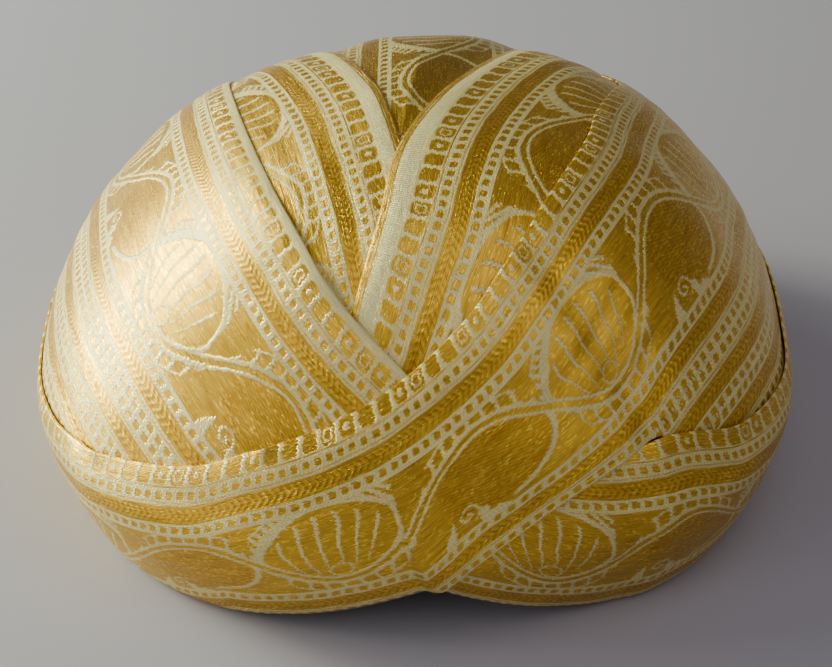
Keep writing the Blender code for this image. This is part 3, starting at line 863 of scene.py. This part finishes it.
# %% Field: the fan over the trough
FAN_AT, FAN_MIDDLE, FAN_LEFT, FAN_RIGHT, FAN_DEEP = -49.6, -3.1, 19.0, 21.5, 14.2
PETAL, PETAL_TOP = 6.0, -12.6


def fan(place, t):
    """A bowl with petals whose round tops stand under the border and whose sides
    draw together towards a small ring at the foot."""
    x = (place - FAN_AT + REPEAT / 2).in_cell(REPEAT)
    to_right = inside(0 - x, 0.2)
    half = FAN_LEFT + to_right * (FAN_RIGHT - FAN_LEFT)
    y = t - FAN_MIDDLE
    level = ((x / half) ** 2 + (y / FAN_DEEP) ** 2).root()
    thick = 0.032 + inside(t + 3.0, 12.0) * inside(x + 9.0, 3.0) * 0.07
    bowl = inside(abs(level - 1) - thick, 0.03)
    deep = ((t - PETAL_TOP) / 20).most(0.0)
    spread = x / (1 - deep * deep * 0.45).most(0.3)
    cell = (spread + 1.8).in_cell(PETAL)
    arch = PETAL_TOP - (1 - (cell / (PETAL / 2)) ** 2).most(0.0).root() * 2.5
    tops = inside(t - arch, 0.4)
    between = stripe(abs(cell), PETAL / 2, 0.62 - deep * 0.25)
    inner = inside(level - 0.80 + (spread * (2 * np.pi / PETAL)).cosine() * 0.03, 0.03)
    foot = ellipse(x - 1.8, t - 7.4, (3.1, 2.7))
    ring = stripe(foot, 1.0, 0.10, 0.1)
    petals = either(tops, between) * inner * inside(1.15 - foot, 0.1)
    shoulder = stripe(level, 1.15, 0.15, 0.05) * inside(t + 2.0, 3.0) * stripe(abs(x), 15.5, 6.0)
    slits = stripe((x - t * 0.9).in_cell(3.4), 0.0, 0.85) * stripe(level, 1.16, 0.085, 0.04)
    return either(either(bowl, without(shoulder, slits)), either(petals, ring))


# %% An empty group, and noise that is stretched along the thread
def new_group(name, inputs, outputs):
    """An empty node group with the sockets named."""
    group = bpy.data.node_groups.new(name, "ShaderNodeTree")
    for label, kind in inputs:
        group.interface.new_socket(label, in_out="INPUT", socket_type=kind)
    for label, kind in outputs:
        group.interface.new_socket(label, in_out="OUTPUT", socket_type=kind)
    return group, group.nodes.new("NodeGroupInput"), group.nodes.new("NodeGroupOutput")


def noise(group, u, c, scale_u, scale_c, detail=1.0):
    """Noise stretched by its own scale along the cloth and across it."""
    place = group.nodes.new("ShaderNodeCombineXYZ")
    for socket, value in zip(place.inputs, (u * scale_u, c * scale_c)):
        group.links.new(value.source, socket)
    node = group.nodes.new("ShaderNodeTexNoise")
    node.inputs["Scale"].default_value = 1.0
    node.inputs["Detail"].default_value = detail
    group.links.new(place.outputs[0], node.inputs["Vector"])
    return Number(group, node.outputs[0])


# %% The group: every thread gets its own end
THREAD, THREAD_END, FLOAT, TICK = 0.46, 0.9, 1.1, 1.3
SCATTER_RATE, SCATTER_SIZE = 12.9898, 43758.5453
OUTPUTS = ("Ivory", "Streak", "Height", "Line", "Glint")

brocade, given, result = new_group(
    "Woven brocade",
    [("Cloth", "NodeSocketVector"), ("Shift", "NodeSocketFloat")],
    [(label, "NodeSocketFloat") for label in OUTPUTS],
)
split = brocade.nodes.new("ShaderNodeSeparateXYZ")
brocade.links.new(given.outputs["Cloth"], split.inputs[0])
u, c = (Number(brocade, split.outputs[k]) for k in (0, 1))
shift = Number(brocade, given.outputs["Shift"])
waver = noise(brocade, u, c, 0.09, 0.09, 2.0)
shake = noise(brocade, u, c, 1.9, 1.9)
row = c.cell(THREAD)
scatter = (row * SCATTER_RATE).sine() * SCATTER_SIZE
chance = scatter - scatter.cell(1.0)
u_w = u + (waver - 0.5) * 2.2 + (chance - 0.5) * THREAD_END
c_w = (row + 0.5) * THREAD + (waver - 0.5) * 0.9 + (shake - 0.5) * 0.25


# %% The group: where ivory shows, and where single threads break it
b = c_w.least(2 * FIELD_MIDDLE - c_w)
s = (u_w - shift + REPEAT / 2).in_cell(REPEAT)
t = c_w - FIELD_MIDDLE
cosine, away = wave_parts(s, t)
field = either(wave(s, cosine, away), drop(s, t, away))
field = either(field, either(fan(u_w - shift, t) * inside(away + STEM_HALF), curl(s, t)))
in_field = inside(BORDER_END - b)
ivory = either(borders(u_w, b), field * in_field)
selvedge, fringe = stripe(b, 6.1, 3.4), stripe(b, 10.0, 0.5)
tick = ((u + chance * 1.3) * (2 * np.pi / TICK)).sine() * 0.5 + 0.5
broken = ivory * tick * (1 - selvedge * 0.7)


# %% The group: one random value for each float of thread, and glints on a few
float_cell = ((u + chance * FLOAT * 3) / FLOAT).cell(1.0)
spot = brocade.nodes.new("ShaderNodeTexWhiteNoise")
spot.noise_dimensions = "2D"
spot_place = brocade.nodes.new("ShaderNodeCombineXYZ")
for socket, value in zip(spot_place.inputs, (float_cell, row)):
    brocade.links.new(value.source, socket)
brocade.links.new(spot_place.outputs[0], spot.inputs["Vector"])
one_float = Number(brocade, spot.outputs["Value"])
glint = inside(0.90 - one_float, 0.12)
threads = noise(brocade, u, c, 0.11, 3.2, 2.0)
spark = noise(brocade, u, c, 1.3, 3.0)


# %% The group: heights and dark lines
RIB_PITCH, LINE_PITCH, CHEVRON_PITCH, CHEVRON_LEAN = 0.85, 1.25, 2.3, 2.2

ribs = (u * (2 * np.pi / RIB_PITCH)).sine() * selvedge
weft = (c * (2 * np.pi / THREAD)).cosine() * -1
from_middle = abs(b - STRIPE_MIDDLE)
lines = (from_middle * (2 * np.pi / LINE_PITCH)).cosine() * stripe(b, STRIPE_MIDDLE, STRIPE_HALF)
chevrons = (u * (2 * np.pi / CHEVRON_PITCH) + from_middle * CHEVRON_LEAN).sine()
chevrons = chevrons * stripe(b, STRIPE_MIDDLE, STRIPE_HALF - 0.7)
hatch = hatching(s, t, away) * in_field
height = ivory * 0.14 + threads * 0.10 + ribs * 0.05 + weft * 0.022 + ivory * spark * 0.16
height = height + fringe * 0.12 + one_float * 0.05 - broken * 0.06
height = height + chevrons * 0.04 + lines * 0.02 + hatch * 0.04
dark = (lines * 0.3 + chevrons * 0.6 + hatch * 0.5 + 0.15 * ribs - weft * 0.16).share()
for label, value in zip(OUTPUTS, (ivory - broken * 0.34, threads, height, dark, glint)):
    brocade.links.new(value.source, result.inputs[label])
print("nodes in the weave:", len(brocade.nodes))


# %% [markdown]
# ## Materials
#
# Gold thread is a thin metal strip wound on yellow silk: mostly metal, and not very
# smooth. The ivory thread is silk with a silver strip, so it is paler and duller.
# One function mixes the two by the mask. It gives a piece its own place in the
# pattern, since each turn of the cloth meets the band at another place.

# %% A colour between two colours, and a darker colour
def mixed(tree, factor, one, two):
    """A colour between two colours."""
    node = tree.nodes.new("ShaderNodeMix")
    node.data_type = "RGBA"
    for socket, value in ((node.inputs[0], factor), (node.inputs[6], one), (node.inputs[7], two)):
        if isinstance(value, Number):
            tree.links.new(value.source, socket)
        elif hasattr(value, "is_linked"):
            tree.links.new(value, socket)
        else:
            socket.default_value = (*value, 1.0)
    return node.outputs[2]


def shaded(colour, shade):
    """A colour with each part times the shade."""
    return tuple(shade * part for part in colour)


# %% Brocade, in the bright gold of the bands or the deeper gold of the crown
GOLD, DEEP_GOLD = (0.97, 0.63, 0.060), (0.52, 0.245, 0.012)
IVORY, GREY_IVORY = (1.0, 0.92, 0.48), (0.66, 0.54, 0.22)
GOLD_METAL, LESS_METAL = 0.86, 0.52
ROUGH, IVORY_ROUGH, STREAK_ROUGH, GLINT_SMOOTH = 0.26, 0.12, 0.07, 0.06
BUMP_STRENGTH, BUMP_DEPTH = 0.85, 0.001
CROWN_SHADE = 0.72


def brocade_material(name, shift, shade=1.0):
    """Brocade whose teardrops sit at shift along the cloth. Shade darkens it all."""
    material = bpy.data.materials.new(name)
    material.use_nodes = True
    tree = material.node_tree
    shader = tree.nodes["Principled BSDF"]
    cloth = tree.nodes.new("ShaderNodeUVMap")
    cloth.uv_map = "cloth"
    weave = tree.nodes.new("ShaderNodeGroup")
    weave.node_tree = brocade
    weave.inputs["Shift"].default_value = shift
    tree.links.new(cloth.outputs[0], weave.inputs["Cloth"])
    ivory, streak, height, line, glint = (Number(tree, weave.outputs[k]) for k in OUTPUTS)
    # The streak picks lighter or deeper gold threads, and the glint lightens a few floats of gold
    # as a painted highlight.
    gold_tone_and_glint = (streak * 2.2 - 0.6 - line * 0.8 + glint * 0.7).share()
    bright_ivory = (streak * 1.6 - 0.2 - line * 0.5).share()
    gold = mixed(tree, gold_tone_and_glint, shaded(DEEP_GOLD, shade), shaded(GOLD, shade))
    pale = mixed(tree, bright_ivory, shaded(GREY_IVORY, shade), shaded(IVORY, shade))
    rough = ROUGH + ivory * IVORY_ROUGH + streak * STREAK_ROUGH - glint * GLINT_SMOOTH
    tree.links.new(mixed(tree, ivory, gold, pale), shader.inputs["Base Color"])
    tree.links.new((GOLD_METAL - ivory * LESS_METAL).source, shader.inputs["Metallic"])
    tree.links.new(rough.source, shader.inputs["Roughness"])
    bump = tree.nodes.new("ShaderNodeBump")
    bump.inputs["Strength"].default_value = BUMP_STRENGTH
    bump.inputs["Distance"].default_value = BUMP_DEPTH
    tree.links.new(height.source, bump.inputs["Height"])
    tree.links.new(bump.outputs[0], shader.inputs["Normal"])
    return material


# %% Brocade on each piece, with the place of its teardrops in millimetres
SHIFTS = {
    "front_cloth": 290.5,
    "lower_right_cloth": 127.0,
    "left_cloth": 136.0,
    "right_cloth": 104.0,
    "inner_left_cloth": 167.0,
}
for name, shift in SHIFTS.items():
    PIECES[name].data.materials.append(brocade_material(f"{name} brocade", shift))
crown.data.materials.append(brocade_material("crown brocade", 0.0, CROWN_SHADE))
print("brocade materials:", len(SHIFTS) + 1)


# %% [markdown]
# The inside of the crown touches the hair, so it is lined with plain cotton. It can't
# be seen in the photograph, and it stays plain: one colour, rough, with a fine grain
# that sits on Object coordinates because nothing on it has to follow a band.

# %% Plain materials, and the cotton with its grain
COTTON, COTTON_ROUGH = (0.62, 0.56, 0.44), 0.9
GRAIN, GRAIN_STRENGTH, GRAIN_DEPTH = 900.0, 0.4, 0.0004


def plain_material(name, colour, roughness):
    """One colour and one roughness."""
    material = bpy.data.materials.new(name)
    material.use_nodes = True
    shader = material.node_tree.nodes["Principled BSDF"]
    shader.inputs["Base Color"].default_value = (*colour, 1)
    shader.inputs["Roughness"].default_value = roughness
    return material


cotton = plain_material("cotton lining", COTTON, COTTON_ROUGH)
tree = cotton.node_tree
place = tree.nodes.new("ShaderNodeTexCoord")
grain = tree.nodes.new("ShaderNodeTexNoise")
grain.inputs["Scale"].default_value = GRAIN
bump = tree.nodes.new("ShaderNodeBump")
bump.inputs["Strength"].default_value = GRAIN_STRENGTH
bump.inputs["Distance"].default_value = GRAIN_DEPTH
tree.links.new(place.outputs["Object"], grain.inputs["Vector"])
tree.links.new(grain.outputs[0], bump.inputs["Height"])
tree.links.new(bump.outputs[0], tree.nodes["Principled BSDF"].inputs["Normal"])
crown.data.materials.append(cotton)
print("materials on the crown:", len(crown.data.materials))


# %% [markdown]
# ## What each piece is
#
# Each piece stands for one measured node, which is hidden where the piece takes its place. The
# bands are sheets that lie on the crown: each has a flat size, which is its own length and
# greatest width, and an area, all summed as it was built and kept in a table. The crown is
# padded. Nothing moves, so all of them ride on the one body.

# %% Tell the frame what each piece replaces and how it is held
NODES = {
    "front_cloth": "front_wrap",
    "lower_right_cloth": "lower_right_wrap",
    "left_cloth": "left_wrap",
    "right_cloth": "right_wrap",
    "inner_left_cloth": "inner_left_wrap",
}
for name, node in NODES.items():
    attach(PIECES[name], "root")
    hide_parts(node)
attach(crown, "root")
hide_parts("padded_crown")


# %% [markdown]
# ## The studio
#
# Metal thread shows what it reflects, so the lights make the finish as much as the
# material does. A small window at the left gives the bright patch on that side, and
# a wide glow round it softens the shadow. A weak lamp and the ceiling keep the front
# readable. The floor is plain and pale. The camera stands where the photograph was
# taken from, looking down at 37 degrees through a long lens.

# %% Floor
FLOOR_SIZE, FLOOR_COLOUR, FLOOR_ROUGH = 8, (0.365, 0.352, 0.435), 0.7

bpy.ops.mesh.primitive_plane_add(size=FLOOR_SIZE)
floor = bpy.context.object
floor.name = "floor"
floor.data.materials.append(plain_material("pale floor", FLOOR_COLOUR, FLOOR_ROUGH))
print("floor:", FLOOR_SIZE, "m square")


# %% Lamps
# Columns: name, place, target, width and height, watts, colour.
LAMPS = [
    ("window", (-1.2, 0.50, 0.44), (0, 0, 0.05), (0.45, 0.45), 27, (0.94, 1.0, 0.70)),
    ("window glow", (-1.25, 0.42, 0.50), (0, 0, 0.05), (1.4, 1.0), 25, (0.95, 1.0, 0.78)),
    ("side fill", (-1.0, -0.75, 0.55), (-0.1, -0.1, 0.0), (0.6, 0.6), 2.5, (1.0, 0.98, 0.94)),
    ("ceiling", (0.5, -0.7, 1.7), (0, 0, 0), (1.6, 1.6), 8.5, (1.0, 0.98, 0.95)),
]
ROOM_COLOUR, ROOM_LIGHT = (0.80, 0.76, 0.70), 0.20


def area_light(name, place, target, size, power, colour):
    """A rectangular lamp at a place, facing a target."""
    data = bpy.data.lights.new(name, "AREA")
    data.shape, data.size, data.size_y = "RECTANGLE", *size
    data.energy, data.color = power, colour
    lamp = bpy.data.objects.new(name, data)
    lamp.location = place
    aim = mathutils.Vector(target) - mathutils.Vector(place)
    lamp.rotation_euler = aim.to_track_quat("-Z", "Y").to_euler()
    bpy.context.scene.collection.objects.link(lamp)


for lamp in LAMPS:
    area_light(*lamp)

world = bpy.data.worlds.new("studio")
bpy.context.scene.world = world
world.use_nodes = True
sky = world.node_tree.nodes["Background"].inputs
sky["Color"].default_value = (*ROOM_COLOUR, 1)
sky["Strength"].default_value = ROOM_LIGHT
print("lamps:", len(LAMPS))


# %% Camera
CAMERA_PLACE, CAMERA_PITCH, CAMERA_LENS = (0.0012, -0.6538, 0.5236), 36.8, 104.7
camera_data = bpy.data.cameras.new("camera")
camera_data.lens, camera_data.sensor_width = CAMERA_LENS, 36
camera_data.sensor_fit = "HORIZONTAL"
camera = bpy.data.objects.new("camera", camera_data)
camera.location = CAMERA_PLACE
camera.rotation_euler = (np.radians(90 - CAMERA_PITCH), 0, 0)
bpy.context.scene.collection.objects.link(camera)
bpy.context.scene.camera = camera
print("camera height in mm:", round(1000 * CAMERA_PLACE[2]), "pitch:", CAMERA_PITCH)


# %% Finish
bpy.context.view_layer.update()
